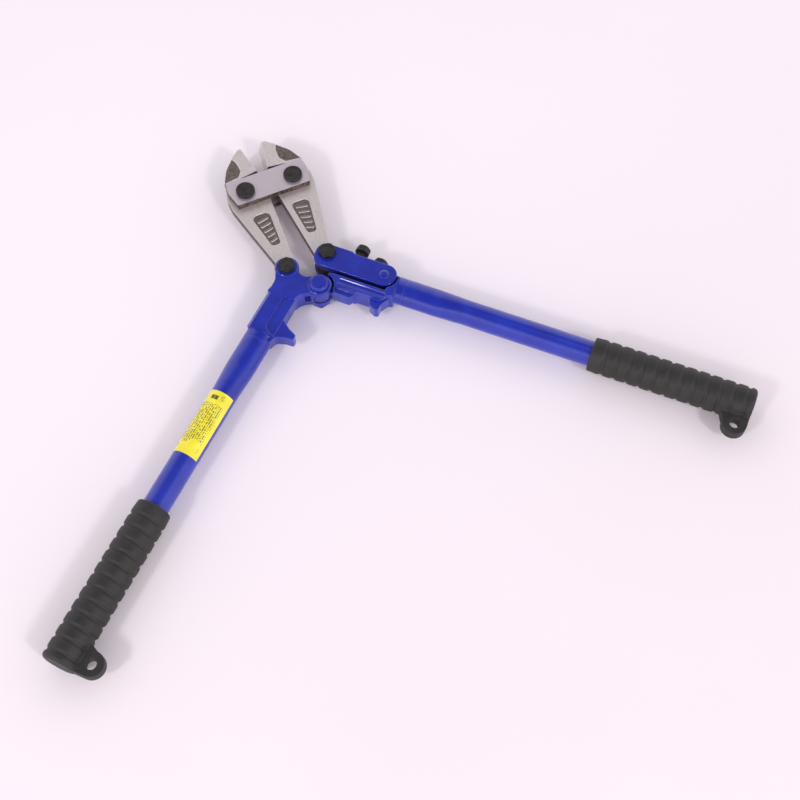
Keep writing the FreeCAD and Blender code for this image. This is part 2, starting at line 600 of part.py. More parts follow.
def make_bolt(body, label, centre, shank_radius, low, seat, head_radius, head_height, shape):
    """A bolt hanging from its seat: shape is domed, button or hex."""
    shank = [(0.0, low), (shank_radius - 0.8, low), (shank_radius, low + 0.8), (shank_radius, seat)]
    top = seat + head_height
    round_heads = {
        "domed": [(head_radius, seat), (head_radius, seat + 0.45 * head_height, 1.5),
                  (head_radius * 0.8, top, 2.5), (0.0, top)],
        "button": [(head_radius, seat), (head_radius, top, 1.2), (0.0, top)],
        "hex": [(0.0, seat)],
    }
    lathe(body, label + "_shank", shank + round_heads[shape], (centre[0], 0, -centre[1]))
    if shape == "hex":
        hex_block(body, label + "_head", head_radius, centre, seat, top, 1)


def make_nut(body, label, centre, bore, low, seat, radius):
    """A nut against the underside of its seat."""
    hex_block(body, label + "_block", radius, centre, low, seat, -1)
    disc(body, label + "_thread", repr(centre[0]), repr(centre[1]), repr(bore + 0.03), "100", "Pocket")


def make_washer(body, label, centre, bore, low, high, radius):
    sketch = sketch_on(body, label + "_ring", lift=repr(low))
    for size in (radius, bore + 0.04):
        circle(sketch, repr(centre[0]), repr(centre[1]), repr(size))
    raise_pad(body, sketch, repr(high - low), True)


def make_fasteners():
    floor = -mid_height
    middle = (0.0, 0.0)
    make_bolt(handle_body("pivot_bolt", LEFT), "pivot_bolt", middle, pivot_bolt_radius, floor, boss_half,
              12.3, 6.1, "domed")
    make_washer(handle_body("pivot_washer", LEFT), "pivot_washer", middle, pivot_bolt_radius,
                -boss_half - 1.0, -boss_half, 13.2)
    make_nut(handle_body("pivot_nut", LEFT), "pivot_nut", middle, pivot_bolt_radius, floor,
             -boss_half - 1.0, 12.6)
    tails = (("left_tail", LEFT, boss_half), ("right_tail", RIGHT, ear_half))
    for label, side, face in tails:
        centre = (side * tail_at[side][0], tail_at[side][1])
        make_bolt(handle_body(label + "_bolt", side), label + "_bolt", centre, tail_bolt_radius,
                  -face - 5.8, face, 11.4, 6.0, "hex")
        make_nut(handle_body(label + "_nut", side), label + "_nut", centre, tail_bolt_radius,
                 -face - 5.4, -face, 10.4)
    for name, side in (("left", LEFT), ("right", RIGHT)):
        centre = (side * strap_half, 0.0)
        base = ("0", "Sizes.strap_y")
        label = name + "_strap_bolt"
        make_bolt(new_body(label, base), label, centre, strap_bolt_radius, floor + 0.6, blade_half, 12.2, 4.8,
                  "button")
        label = name + "_strap_washer"
        make_washer(new_body(label, base), label, centre, strap_bolt_radius, -blade_half - 1.0, -blade_half,
                    13.0)
        label = name + "_strap_nut"
        make_nut(new_body(label, base), label, centre, strap_bolt_radius, floor + 0.4,
                 -blade_half - 1.0, 12.2)


def make_rivet():
    label = "link_rivet"
    body = handle_body(label, RIGHT)
    face = ear_half + 0.1
    half = [(rivet_radius, face), (7.2, face), (6.4, face + 1.7, 1.5), (3.0, face + 3.2, 2),
            (0.0, face + 3.2)]
    profile = half + [(x, -y, *rest) for x, y, *rest in reversed(half)]
    lathe(body, label + "_turned", profile, (link_turn_out, 0, link_turn_along))


def side_screw(body, label, along, tip, seat, head_length, head_radius, shank_radius):
    """A screw lying across the handle: its tip points at the tongue, its hex head outward."""
    middle = (0, -along, 0)
    shank = [(tip, 0.0), (tip, shank_radius - 0.8), (tip + 0.8, shank_radius), (seat, shank_radius),
             (seat, head_radius * 0.96), (seat + 1.2, head_radius * 0.96), (seat + 1.2, 0.0)]
    lathe(body, label + "_shank", shank, middle, "XY_Plane", "H_Axis")
    head = sketch_on(body, label + "_head", "YZ_Plane", lift=repr(seat + 1.2))
    draw(head, rounded(hexagon(head_radius, (-along, 0.0))))
    raise_pad(body, head, repr(head_length - 1.2), True)
    top = seat + head_length
    corner = [(top, head_radius * 0.88), (top, head_radius + 1.0), (top - 1.4, head_radius + 1.0)]
    lathe(body, label + "_crown", corner, middle, "XY_Plane", "H_Axis", "Groove")


def make_adjusters():
    """Adjusting screw and its lock nut, locking screw and its washer."""
    side_screw(handle_body("adjusting_screw", RIGHT), "adjusting_screw", push_along, tongue_out + 0.05,
               link_out + 12.5, 8.0, 9.4, screw_radius)
    washer_thick = 1.5
    side_screw(handle_body("locking_screw", RIGHT), "locking_screw", pull_along, tongue_out - lock_reach,
               link_out + washer_gap + washer_thick, 8.0, 9.4, screw_radius)
    rings = (("adjusting_lock_nut", push_along, 0.05, 6.0, hexagon(9.4, (-push_along, 0.0))),
             ("locking_washer", pull_along, washer_gap, washer_thick, None))
    for label, along, gap, thick, outline in rings:
        body = handle_body(label, RIGHT)
        sketch = sketch_on(body, label + "_block", "YZ_Plane", lift=repr(link_out + gap))
        if outline:
            draw(sketch, rounded(outline))
        else:
            circle(sketch, repr(-along), "0", "10.2")
        circle(sketch, repr(-along), "0", "Sizes.screw_radius + 0.03")
        raise_pad(body, sketch, repr(thick), True)


for jaw_side, jaw_label in ((LEFT, "left_jaw"), (RIGHT, "right_jaw")):
    make_jaw(jaw_label, jaw_side)
make_strap("front_strap", 1)
make_strap("back_strap", -1)
make_left_head()
make_right_head()
make_link()
for hand, hand_side in (("left", LEFT), ("right", RIGHT)):
    make_tube(hand + "_tube", hand_side)
    make_grip(hand + "_grip", hand_side)
    make_tube_pin(hand + "_tube_pin", hand_side)
make_label()
make_fasteners()
make_rivet()
make_adjusters()
doc.recompute()

# ---- check and write every sub-part ------------------------------------------------------
nodes = [thing for thing in doc.Objects if thing.TypeId == "PartDesign::Body"]
faults = [thing.Name for thing in doc.Objects if "Invalid" in thing.State or "Error" in thing.State]
for node in nodes:
    if node.Shape.isNull() or not node.Shape.isValid() or not node.Shape.Solids:
        faults.append(node.Label)
if faults:
    raise RuntimeError("sub-parts that failed: %s" % faults)
for node in nodes:
    node.Shape.exportStep("parts/%s.step" % node.Label)
    box = node.Shape.BoundBox
    print("%-20s %8.2f cm3, %d solid, z %.2f to %.2f" % (
        node.Label, node.Shape.Volume / 1000, len(node.Shape.Solids), box.ZMin, box.ZMax))
print("jaws at rest lean %.3f, shut %.3f degrees" % (jaw_rest, jaw_shut))
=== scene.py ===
# %% [markdown]
# # A lever bolt cutter, lying open on a table
# The tool is a chain of flat steel levers: two tubular handles, two forged heads, an adjuster
# link, two jaws and two straps.  The measured model comes first and fixes every place and size.
# This lesson adds what a drawing has not got: soft forged edges, paint, ground steel, moulded
# rubber, light.  Everything is in metres, in the same frame as the measured model.

# %% Load the measured model
import bmesh
import bpy
import json
import math
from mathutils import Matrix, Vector


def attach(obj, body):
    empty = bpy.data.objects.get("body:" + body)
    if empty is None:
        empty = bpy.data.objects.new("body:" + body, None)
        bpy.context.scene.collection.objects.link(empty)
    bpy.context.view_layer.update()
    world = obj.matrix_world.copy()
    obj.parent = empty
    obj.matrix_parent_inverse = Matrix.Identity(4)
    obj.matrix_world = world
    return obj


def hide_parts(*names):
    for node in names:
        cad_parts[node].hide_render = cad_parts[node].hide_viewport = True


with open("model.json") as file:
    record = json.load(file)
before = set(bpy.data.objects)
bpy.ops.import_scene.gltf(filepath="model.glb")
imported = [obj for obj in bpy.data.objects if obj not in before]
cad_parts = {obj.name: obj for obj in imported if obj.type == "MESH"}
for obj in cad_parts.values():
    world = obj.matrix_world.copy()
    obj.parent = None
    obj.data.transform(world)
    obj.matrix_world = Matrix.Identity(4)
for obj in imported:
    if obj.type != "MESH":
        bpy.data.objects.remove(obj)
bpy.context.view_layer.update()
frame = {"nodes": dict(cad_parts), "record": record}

scene = bpy.context.scene
scene.view_settings.view_transform = "Standard"

# %% What the record says about bodies, joints and slots
behaviour = frame["record"]["behaviour"]
body_of_node = {node: body for body, nodes in behaviour["bodies"].items() for node in nodes}
slot_of_node = {row["node"]: row["material_slot"] for row in frame["record"]["subparts"]}
centre_pivot = {joint["name"]: joint for joint in behaviour["joints"]}["handle_close"]["pos_m"]
MID = centre_pivot[2]               # height of the mid-plane, where every lever is centred
LEFT_OPEN = math.radians(49.3)      # the left handle from the tool's centre line

# %% [markdown]
# ## Arithmetic that builds nodes
# A worn finish is mostly arithmetic on masks: "ground where the face is flat, but not in the
# pockets".  Wiring such sums by hand is slow and hard to read.  A small class holds one output
# socket, and Python's own operators add the Math nodes, so a mask reads like a formula.

# %% One value on its way through a node tree
class Flow:
    """An output socket; arithmetic on it adds Math nodes to its tree."""

    def __init__(self, nodes, socket):
        self.nodes = nodes
        self.socket = socket

    def math(self, operation, *others, first=None):
        inputs = [self if first is None else first] + list(others)
        return self.nodes.node("ShaderNodeMath", {"operation": operation}, dict(enumerate(inputs)))

    def __add__(self, other):
        return self.math("ADD", other)

    def __sub__(self, other):
        return self.math("SUBTRACT", other)

    def __rsub__(self, other):
        return self.math("SUBTRACT", self, first=other)

    def __mul__(self, other):
        return self.math("MULTIPLY", other)

    def __truediv__(self, other):
        return self.math("DIVIDE", other)

    __radd__ = __add__
    __rmul__ = __mul__

    def __abs__(self):
        return self.math("ABSOLUTE")

    def ramp(self, low, high, to_low=0.0, to_high=1.0):
        """Fade smoothly from to_low at low to to_high at high."""
        return self.nodes.node("ShaderNodeMapRange", {"interpolation_type": "SMOOTHSTEP"},
                               {0: self, 1: low, 2: high, 3: to_low, 4: to_high})

    def near(self, value, width):
        """1 where the value is within width of the given one, fading out just beyond."""
        return abs(self - value).ramp(width, width * 1.25, 1.0, 0.0)


print("a Flow adds Math nodes for + - * / abs, and a Map Range for a ramp")

# %% [markdown]
# ## One method for every node
# Some settings of a node, such as its operation or data type, change which sockets it has.  So
# the settings come first and the sockets after them, by value or by link.  The materials and the
# room's light share this method, because both are node trees.

# %% Nodes of any tree
class Nodes:
    """Adds nodes to one tree."""

    def __init__(self, tree):
        self.tree = tree

    def node(self, kind, settings=None, sockets=None, out=0):
        node = self.tree.nodes.new(kind)
        for name, value in (settings or {}).items():
            setattr(node, name, value)
        for name, value in (sockets or {}).items():
            self.feed(node.inputs[name], value)
        return Flow(self, node.outputs[out])

    def feed(self, socket, value):
        if isinstance(value, Flow):
            self.tree.links.new(value.socket, socket)
        else:
            socket.default_value = value


def linear(red, green, blue):
    """A screen colour, 0 to 255, as the light values that a shader takes."""
    channels = []
    for screen in (red, green, blue):
        dark = screen / 255 / 12.92
        bright = ((screen / 255 + 0.055) / 1.055) ** 2.4
        channels.append(bright if screen > 10 else dark)
    return tuple(channels) + (1.0,)


print("middle grey as light:", round(linear(128, 128, 128)[0], 3))

# %% [markdown]
# ## A finish
# Each material is one Principled shader with a few textures in front of it.  Painted image maps
# could do the same, but noise in the object's own place needs no unwrapping and has no seams.
# The class makes the shader and gives short names to the patterns that every finish uses.

# %% The finish class
class Finish(Nodes):
    """One node material with a Principled shader."""

    def __init__(self, name, **constants):
        self.material = bpy.data.materials.new(name)
        self.material.use_nodes = True
        super().__init__(self.material.node_tree)
        self.tree.nodes.clear()
        self.shader = self.tree.nodes.new("ShaderNodeBsdfPrincipled")
        output = self.tree.nodes.new("ShaderNodeOutputMaterial")
        self.tree.links.new(self.shader.outputs[0], output.inputs[0])
        for socket, value in constants.items():
            self.shader.inputs[socket.replace("_", " ")].default_value = value
        self.place = self.node("ShaderNodeTexCoord", out="Object")

    def surface(self, **values):
        """Feed the shader's own sockets: surface(Base_Color=..., Roughness=...)."""
        for name, value in values.items():
            self.feed(self.shader.inputs[name.replace("_", " ")], value)
        return self.material

    def blend(self, mask, low, high):
        """A colour that is low where the mask is 0 and high where it is 1."""
        return self.node("ShaderNodeMix", {"data_type": "RGBA"}, {0: mask, 6: low, 7: high}, out=2)

    def axis(self, vector, axis):
        """One coordinate of a vector: X, Y or Z."""
        return self.node("ShaderNodeSeparateXYZ", sockets={0: vector}, out=axis)

    def noise(self, scale, detail=3.0, roughness=0.5, place=None):
        return self.node("ShaderNodeTexNoise", sockets={
            "Vector": place or self.place, "Scale": scale, "Detail": detail, "Roughness": roughness})

    def turned(self, angle):
        """The place, turned about the vertical."""
        return self.node("ShaderNodeVectorRotate", {"rotation_type": "Z_AXIS"},
                         {"Vector": self.place, "Angle": angle})

    def stretched(self, angle, stretch):
        """The place, turned and then stretched, for marks that run one way."""
        return self.node("ShaderNodeVectorMath", {"operation": "MULTIPLY"},
                         {0: self.turned(angle), 1: stretch})

    def bump(self, height, distance, strength=1.0, normal=None):
        sockets = {"Height": height, "Distance": distance, "Strength": strength}
        if normal is not None:
            sockets["Normal"] = normal
        return self.node("ShaderNodeBump", sockets=sockets)

    def geometry(self, out):
        return self.node("ShaderNodeNewGeometry", out=out)

    def edges(self, low, high):
        """1 on sharp outer edges of a finely divided mesh."""
        return self.geometry("Pointiness").ramp(low, high)

    def hollows(self, low, high):
        """1 in inner corners of a finely divided mesh."""
        return self.geometry("Pointiness").ramp(low, high, 1.0, 0.0)

    def level(self):
        """How level the surface is: 1 on flat faces, 0 on vertical ones."""
        return abs(self.axis(self.geometry("Normal"), "Z"))

    def from_middle(self):
        """Distance above or below the tool's mid-plane."""
        return abs(self.axis(self.place, "Z") - MID)

    def rounding(self, radius):
        """The surface's normal with its edges rounded over a small radius."""
        return self.node("ShaderNodeBevel", {"samples": 6}, {"Radius": radius})


print("a Finish has:", ", ".join(name for name in vars(Finish) if not name.startswith("_")))

# %% [markdown]
# ## Blue stove enamel
# The heads, link and tubes are sprayed and baked: a strong blue under a clear glossy skin, with
# the fine orange peel of sprayed paint.  It thins and chips on outer edges, and it is darker in
# inner corners.  A painted mask would have to be redone after every change of shape, so the mesh's own
# pointiness gives both places instead.  Inside the forks, where steel slides on steel, there is
# no paint but old grease.

# %% Blue enamel
SLOT_HALF = 0.0063                  # the forks are open this far from the mid-plane
FRESH_BLUES = linear(13, 31, 150), linear(21, 43, 168)
THIN_BLUE = linear(70, 86, 200)
CORNER_DARK_BLUE = linear(14, 18, 62)
CHIP_GREY = linear(98, 92, 88)
GREASES = linear(44, 40, 40), linear(74, 68, 64)
# painted shade: the near black that narrow crevices are coloured
PAINTED_SHADE_BLACK = linear(15, 14, 18)


def enamel(name):
    paint = Finish(name, Coat_Roughness=0.03, Coat_IOR=1.45, IOR=1.3)
    cloud = paint.noise(38.0, 4.0)
    speck = paint.noise(420.0, 3.0)
    fresh = paint.blend(cloud.ramp(0.3, 0.7), *FRESH_BLUES)
    worn = paint.blend(paint.edges(0.54, 0.62) * 0.45, fresh, THIN_BLUE)
    # darker blue in inner corners, where the pointiness is low
    corner_darkened = paint.blend(paint.hollows(0.40, 0.48) * 0.5, worn, CORNER_DARK_BLUE)
    chips = paint.edges(0.56, 0.62) * speck.ramp(0.60, 0.66)
    chipped = paint.blend(chips * 0.8, corner_darkened, CHIP_GREY)
    slot = paint.from_middle().ramp(SLOT_HALF, SLOT_HALF + 0.0004, 1.0, 0.0) * paint.level().ramp(0.75, 0.9)
    bare = paint.blend(slot, chipped, paint.blend(speck.ramp(0.35, 0.65), *GREASES))
    # Painted shade: where ambient occlusion finds a narrow crevice, the colour goes near black and the clear
    # coat thins out.
    openness = paint.node("ShaderNodeAmbientOcclusion", {"samples": 6}, {"Distance": 0.011}, out="AO")
    painted_crevice_shade = openness.ramp(0.12, 0.5, 1.0, 0.0)
    smears = paint.noise(95.0, 5.0, 0.65)
    peel = paint.noise(620.0, 2.0)
    return paint.surface(
        Base_Color=paint.blend(painted_crevice_shade * 0.9, bare, PAINTED_SHADE_BLACK),
        Roughness=0.30 + smears.ramp(0.35, 0.75) * 0.14 + chips * 0.3,
        Coat_Weight=(1.0 - smears.ramp(0.5, 0.8) * 0.25) * (1 - slot) * (1 - painted_crevice_shade),
        Normal=paint.bump(peel, 0.00004, 0.4),
    )


blue_enamel = enamel("blue_enamel")
print("enamel nodes:", len(blue_enamel.node_tree.nodes))

# %% [markdown]
# ## Jaw steel
# A jaw is forged dark and then ground on its flat faces and its cutting bevel, so the bright
# steel is wherever the grinder could reach.  Two materials on chosen faces would draw a hard
# line between them.  One material that asks for the height does better: the flat faces lie at
# known distances from the mid-plane, and the pockets and forged corners lie lower.

# %% Ground and forged steel of the jaws
POCKET_FLOOR, POCKET_REACH = 0.0046, 0.0010     # pocket and bars, from the mid-plane
BAR_TOP, BAR_REACH = 0.0051, 0.0002
CORNER_FACE, CORNER_REACH = 0.0132, 0.00045     # forged corners of the blades
GRIND_ANGLE = 0.35                              # the grinder's strokes, in radians
GROUND_GREYS = linear(198, 190, 188), linear(230, 223, 221)
STAIN = linear(176, 166, 160)
FORGED_BROWNS = linear(90, 81, 77), linear(118, 108, 104)
RUBBED_RIM = linear(186, 178, 174)
RUBBED_BAR = linear(160, 150, 145)


def jaw_finish(name):
    steel = Finish(name)
    height = steel.from_middle()
    level = steel.level()
    pocket = height.near(POCKET_FLOOR, POCKET_REACH) + height.near(CORNER_FACE, CORNER_REACH)
    ground = level.ramp(0.08, 0.22) * (1 - pocket * level.ramp(0.85, 0.95))
    scratch = steel.noise(260.0, 5.0, 0.7, steel.stretched(GRIND_ANGLE, (1.0, 9.0, 1.0)))
    fine = steel.noise(900.0, 4.0, 0.6, steel.stretched(GRIND_ANGLE, (1.0, 14.0, 1.0)))
    cloud = steel.noise(55.0, 4.0, 0.6)
    bright = steel.blend(scratch.ramp(0.3, 0.7), *GROUND_GREYS)
    stained = steel.blend(cloud.ramp(0.55, 0.8) * 0.3, bright, STAIN)
    scale = steel.blend(steel.noise(300.0, 4.0).ramp(0.3, 0.7), *FORGED_BROWNS)
    rim = steel.edges(0.54, 0.62) * 0.5 * (1 - pocket)
    rimmed = steel.blend(rim, scale, RUBBED_RIM)
    forged = steel.blend(height.near(BAR_TOP, BAR_REACH) * 0.35, rimmed, RUBBED_BAR)
    grain = fine * 0.6 + steel.noise(700.0, 3.0) * (1 - ground) * 3.0
    return steel.surface(
        Base_Color=steel.blend(ground, forged, stained),
        Metallic=0.35 + ground * 0.4,
        Roughness=0.64 - ground * 0.24 + scratch * 0.08,
        Normal=steel.bump(grain, 0.00004, 0.6),
    )


jaw_steel = jaw_finish("jaw_steel")
print("jaw steel nodes:", len(jaw_steel.node_tree.nodes))

# %% [markdown]
# ## Strap steel
# The straps are cut from bright bar and only their broad faces are polished.  Their sheared
# edges are browner and rougher.  They are flat plates with crisp corners.  A bevel modifier
# could break the corners, but the shader's rounded normal does it without one more face.

# %% Polished strap with sheared edges
POLISHED_GREYS = linear(194, 184, 192), linear(220, 210, 218)
SHEARED_BROWNS = linear(60, 48, 42), linear(118, 104, 94)
CLOUDY_GREY = linear(172, 164, 170)


def strap_finish(name):
    steel = Finish(name)
    face = steel.level().ramp(0.5, 0.9)
    lines = steel.noise(420.0, 5.0, 0.65, steel.stretched(0.0, (12.0, 1.0, 1.0)))
    cloud = steel.noise(60.0, 4.0)
    bright = steel.blend(lines.ramp(0.3, 0.7), *POLISHED_GREYS)
    polished = steel.blend(cloud.ramp(0.5, 0.8) * 0.25, bright, CLOUDY_GREY)
    sheared = steel.blend(steel.noise(180.0, 4.0).ramp(0.35, 0.65), *SHEARED_BROWNS)
    return steel.surface(
        Base_Color=steel.blend(face, sheared, polished),
        Metallic=0.5 + face * 0.25,
        Roughness=0.6 - face * 0.25 + lines * 0.06,
        Normal=steel.bump(lines, 0.00003, 0.5, steel.rounding(0.0007)),
    )


strap_steel = strap_finish("strap_steel")
print("strap steel nodes:", len(strap_steel.node_tree.nodes))

# %% [markdown]
# ## Blacked fasteners
# Bolts, nuts and screws are blacked in hot oil: nearly black, slightly brown, with a soft oily
# shine.  Spanners rub the corners back to steel.  Pointiness needs a fine mesh, which a plain
# hexagon has not got, so the difference between the rounded and the flat normal finds the edge.

# %% Black oxide and bare steel
def rubbed_edge(finish, radius):
    """The rounded normal, and 1 along the edges, where it leaves the flat one."""
    round_normal = finish.rounding(radius)
    same = finish.node("ShaderNodeVectorMath", {"operation": "DOT_PRODUCT"},
                       {0: round_normal, 1: finish.geometry("Normal")}, out="Value")
    return round_normal, same.ramp(0.80, 0.985, 1.0, 0.0)


def fastener_finish(name, dark, light, edge, metallic, roughness):
    metal = Finish(name)
    round_normal, rub = rubbed_edge(metal, 0.0007)
    cloud = metal.noise(150.0, 4.0, 0.6)
    broken = metal.noise(520.0, 3.0).ramp(0.4, 0.62)
    face = metal.blend(cloud.ramp(0.3, 0.7), dark, light)
    return metal.surface(
        Base_Color=metal.blend(rub * broken * 0.6, face, edge),
        Metallic=metallic + rub * 0.1,
        Roughness=roughness + cloud * 0.16,
        Normal=metal.bump(metal.noise(1100.0, 3.0), 0.00004, 0.5, round_normal),
    )


black_oxide = fastener_finish("black_oxide", linear(40, 39, 40), linear(62, 60, 60),
                              linear(128, 120, 112), metallic=0.55, roughness=0.30)
bare_steel = fastener_finish("bare_steel", linear(140, 138, 134), linear(176, 173, 168),
                             linear(205, 202, 198), metallic=0.85, roughness=0.3)
print("fastener finishes:", black_oxide.name, bare_steel.name)

# %% [markdown]
# ## Moulded rubber
# The grips are moulded in a warm black that is never quite flat, with a fine grain.  Hands
# polish the tops of the ribs a little and dust stays in the grooves.  Again the mesh itself says
# where ribs and grooves are, so that the wear follows them without a mask.

# %% Grip rubber
RUBBER_BLACKS = linear(30, 29, 28), linear(42, 40, 38)
GROOVE_DUST = linear(76, 72, 68)
POLISHED_RIB = linear(56, 53, 50)


def rubber_finish(name):
    rubber = Finish(name, IOR=1.5)
    tops = rubber.edges(0.505, 0.55)
    cloud = rubber.noise(70.0, 4.0, 0.6)
    base = rubber.blend(cloud.ramp(0.3, 0.7), *RUBBER_BLACKS)
    dusty = rubber.blend(rubber.hollows(0.42, 0.485) * cloud.ramp(0.35, 0.6) * 0.30, base, GROOVE_DUST)
    grain = rubber.noise(1500.0, 3.0, 0.7) + rubber.noise(260.0, 3.0) * 0.5
    return rubber.surface(
        Base_Color=rubber.blend(tops * 0.25, dusty, POLISHED_RIB),
        Roughness=0.50 + cloud * 0.18 - tops * 0.08,
        Normal=rubber.bump(grain, 0.00006, 0.6),
    )


grip_rubber = rubber_finish("grip_rubber")
print("rubber nodes:", len(grip_rubber.node_tree.nodes))

# %% [markdown]
# ## A printed label
# The yellow film on the left tube carries rows of small print.  Real words have no place here,
# so each row is a run of short dark bars from a white-noise texture, looked up on a grid of
# cells.  The grid lies along the tube one way and round it the other.  A picture of the label
# would need a file, and it would blur when seen close.

# %% The label's own coordinates, in millimetres
LABEL_START, LABEL_END = 184.0, 272.0       # from the centre pivot, along the handle
TUBE_AXIS = 36.0                            # outward from the pivot
TUBE_RADIUS = 16.0
MM = 1000.0                                 # millimetres in a metre


def along_and_around(film):
    """Distance along the left handle, and round its tube from the top."""
    turned = film.turned(LEFT_OPEN)
    out, back, up = (film.axis(turned, axis) for axis in "XYZ")
    across = out * MM + TUBE_AXIS
    return (0 - back) * MM, across.math("ARCTAN2", (up - MID) * MM) * TUBE_RADIUS


print("label", LABEL_END - LABEL_START, "mm long")

# %% Yellow film with rows of generic bars
ROW_PITCH, ROW_HALF = 2.6, 0.26             # rows round the tube; the ink's half share of one
STROKE_WIDTH = 1.15
TEXT_HALF_WIDTH, TEXT_MIDDLE = 14.5, -3.0
FILM_YELLOWS = linear(240, 226, 50), linear(252, 240, 74)
BORDER_YELLOW = linear(232, 214, 60)
INK = linear(66, 66, 36)


def white_noise(film, cell, row):
    place = film.node("ShaderNodeCombineXYZ", sockets={0: cell, 1: row})
    return film.node("ShaderNodeTexWhiteNoise", {"noise_dimensions": "2D"}, {"Vector": place})


def small_print(film, along, around):
    """Rows of short bars between the label's head and a ragged right-hand end."""
    row = (around + 40.0) / ROW_PITCH
    row_number = row.math("FLOOR")
    stroke = white_noise(film, (along / STROKE_WIDTH).math("FLOOR"), row_number).ramp(0.30, 0.34)
    shortened = white_noise(film, row_number, 7.0) * 16.0
    first, last = LABEL_START + 17.0, LABEL_END - 6.0
    started = along.ramp(first, first + 0.4)
    ended = 1 - (along - (last - shortened)).ramp(0.0, 0.4)
    inside = around.near(TEXT_MIDDLE, TEXT_HALF_WIDTH)
    return row.math("FRACT").near(0.5, ROW_HALF) * stroke * started * ended * inside


def head_blocks(film, along, around):
    """Two solid blocks and a faded patch at the label's head."""
    blocks = along.near(LABEL_START + 9.0, 2.4) * (around.near(-5.2, 1.9) + around.near(-0.6, 1.9))
    patch = along.near(LABEL_START + 7.0, 3.0) * around.near(7.5, 2.4)
    return blocks * 0.95 + patch * film.noise(900.0, 2.0).ramp(0.4, 0.6) * 0.6


def label_finish(name):
    film = Finish(name, Coat_Weight=0.3, Coat_Roughness=0.15)
    along, around = along_and_around(film)
    printed = small_print(film, along, around) * 0.72 + head_blocks(film, along, around)
    ink = printed.math("MINIMUM", 1.0)
    border = along.near((LABEL_START + LABEL_END) / 2, (LABEL_END - LABEL_START) / 2 - 1.5)
    yellow = film.blend(film.noise(60.0, 3.0).ramp(0.3, 0.7), *FILM_YELLOWS)
    return film.surface(
        Base_Color=film.blend(ink, film.blend(border, BORDER_YELLOW, yellow), INK),
        Roughness=0.34 + ink * 0.12 + film.noise(140.0, 3.0) * 0.1,
        Normal=film.bump(film.noise(180.0, 3.0), 0.00004, 0.4),
    )


label_film = label_finish("label_film")
print("label nodes:", len(label_film.node_tree.nodes))

# %% [markdown]
# ## Soft skins for forged and moulded pieces
# A forging or a moulding has no knife edges: dies and moulds need radii.  The measured solids
# have sharp ones.  A bevel would trip over their many small faces, so a voxel skin is drawn
# over a copy instead, and smoothed a little.  It rounds outer edges and fills inner corners at
# once, as a real die does, and stays inside the measured size.

# %% A welded copy of a measured solid
WELD = 2e-6                         # corners closer than this become one


def welded_copy(node, name):
    mesh = frame["nodes"][node].data.copy()
    work = bmesh.new()
    work.from_mesh(mesh)
    bmesh.ops.remove_doubles(work, verts=work.verts, dist=WELD)
    work.to_mesh(mesh)
    work.free()
    piece = bpy.data.objects.new(name, mesh)
    scene.collection.objects.link(piece)
    return piece


def settle(piece):
    """Turn a piece's modifiers into plain mesh."""
    bpy.context.view_layer.update()
    shown = piece.evaluated_get(bpy.context.evaluated_depsgraph_get())
    mesh = bpy.data.meshes.new_from_object(shown)
    piece.modifiers.clear()
    piece.data = mesh


print("solids are welded within", WELD * 1e6, "thousandths of a millimetre")

# %% A softened copy
def soft_skin(node, name, voxel, passes, material):
    piece = welded_copy(node, name)
    skin = piece.modifiers.new("skin", "REMESH")
    skin.mode = "VOXEL"
    skin.voxel_size = voxel * 1
    ease = piece.modifiers.new("ease", "SMOOTH")
    ease.factor = 0.5
    ease.iterations = passes
    settle(piece)
    piece.data.materials.clear()
    piece.data.materials.append(material)
    piece.data.shade_smooth()
    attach(piece, body_of_node[node])
    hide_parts(node)
    print("%-22s %7d faces" % (name, len(piece.data.polygons)))


print("soft_skin replaces a node by a rounded copy of it")

# %% [markdown]
# ## Heads, link, jaws and grips
# The heads and the adjuster link are drop forgings under thick paint, so they get the softest
# skin.  The jaws are ground after forging and keep crisper edges: a finer voxel and fewer
# passes.  The grips are rubber, with broad round ribs that a coarser voxel still follows.

# %% Heads and adjuster link
for node in ("left_head", "right_head", "adjuster_link"):
    soft_skin(node, node + "_forging", 0.0006, 4, blue_enamel)

# %% Jaws
for node in ("left_jaw", "right_jaw"):
    soft_skin(node, node + "_forging", 0.00045, 2, jaw_steel)

# %% Grips
for node in ("left_grip", "right_grip"):
    soft_skin(node, node + "_moulding", 0.0007, 3, grip_rubber)

# %% [markdown]
# ## The pieces that keep their measured shape
# Tubes, straps, bolts, nuts and screws are turned, drawn or cut.  Copies could be rounded like
# the forgings, but their measured shape is already right, and they only need their finish.

# %% Finishes on the measured pieces
finish_of_slot = {"blue_paint": blue_enamel, "strap_steel": strap_steel, "black_steel": black_oxide,
                  "bare_steel": bare_steel, "label_film": label_film}
for node, shown in frame["nodes"].items():
    if not shown.hide_render:
        shown.data.materials.clear()
        shown.data.materials.append(finish_of_slot[slot_of_node[node]])
print("measured pieces shown:", sum(not shown.hide_render for shown in frame["nodes"].values()))

# %% [markdown]
# ## The table
# A pale seamless sheet lies under the tool; its colour is painted a little brighter at its far end,
# as painted light.  A curved backdrop would do the same in a studio, but the view looks down, so one flat
# square is enough.

# %% Table
TABLE_HALF = 4.0
TABLE_DROP = -0.0003                # just below the tool, so that no two faces coincide
TABLE_NEAR_PAINTED_SHADE, TABLE_FAR_PAINTED_LIGHT = linear(246, 236, 241), linear(254, 248, 254)
PATCH_SHADE = linear(250, 243, 250)
DUST = linear(200, 190, 196)


